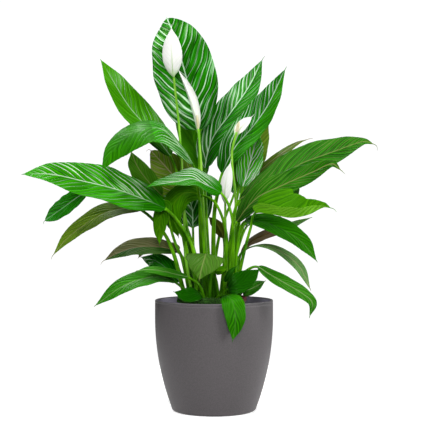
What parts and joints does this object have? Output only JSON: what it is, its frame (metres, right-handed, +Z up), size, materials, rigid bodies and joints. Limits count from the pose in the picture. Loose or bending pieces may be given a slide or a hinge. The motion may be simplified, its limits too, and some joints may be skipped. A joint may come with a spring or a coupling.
{
  "type": "potted peace lily",
  "caption": "Indoor foliage plant with arching lance-shaped leaves and white hooded flowers on upright stalks, rooted in compost in a nursery pot that stands in a plain rounded cover pot.",
  "frame": {"origin": "middle of the cover pot's flat foot, on the surface that the pot stands on", "axes": "+Z up along the pot's axis; -Y is the side that the picture shows, +X to its right"},
  "size_m": [0.5133, 0.3353, 0.6065],
  "materials": {
    "pot_plastic": "satin",
    "nursery_plastic": "satin",
    "soil": "matte",
    "leaf": "gloss",
    "stalk": "satin",
    "spathe": "satin",
    "spadix": "matte"
  },
  "bodies": {
    "root": {"cover_pot": "pot_plastic", "leaf_arching_left": "leaf", "leaf_back_left": "leaf", "leaf_back_low_left": "leaf", "leaf_back_low_right": "leaf", "leaf_back_middle": "leaf", "leaf_back_right": "leaf", "leaf_back_upright": "leaf", "leaf_back_upright_right": "leaf", "leaf_behind_dark_front": "leaf", "leaf_behind_striped": "leaf", "leaf_big_right": "leaf", "leaf_bright_edge": "leaf", "leaf_brown_back": "leaf", "leaf_brown_underside": "leaf", "leaf_dark_front": "leaf", "leaf_dark_left": "leaf", "leaf_dark_low_left": "leaf", "leaf_edge_on": "leaf", "leaf_facing_front": "leaf", "leaf_far_left": "leaf", "leaf_front_right": "leaf", "leaf_glossy_centre": "leaf", "leaf_glossy_right": "leaf", "leaf_herringbone": "leaf", "leaf_left_droop": "leaf", "leaf_left_low": "leaf", "leaf_long_left": "leaf", "leaf_low_left": "leaf", "leaf_low_right": "leaf", "leaf_olive_left": "leaf", "leaf_over_rim": "leaf", "leaf_pendant": "leaf", "leaf_pendant_left": "leaf", "leaf_raised_right": "leaf", "leaf_small_bright": "leaf", "leaf_small_dark": "leaf", "leaf_striped": "leaf", "leaf_tall_back": "leaf", "leaf_turned_right": "leaf", "leaf_upper_left": "leaf", "leaf_upper_right": "leaf", "leaf_upper_right_back": "leaf", "leaf_young_rolled": "leaf", "nursery_pot": "nursery_plastic", "peduncle_low": "stalk", "peduncle_rolled": "stalk", "peduncle_small": "stalk", "peduncle_tall": "stalk", "soil": "soil", "spadix_low": "spadix", "spadix_rolled": "spadix", "spadix_small": "spadix", "spadix_tall": "spadix", "spathe_low": "spathe", "spathe_rolled": "spathe", "spathe_small": "spathe", "spathe_tall": "spathe"}
  },
  "joints": []
}
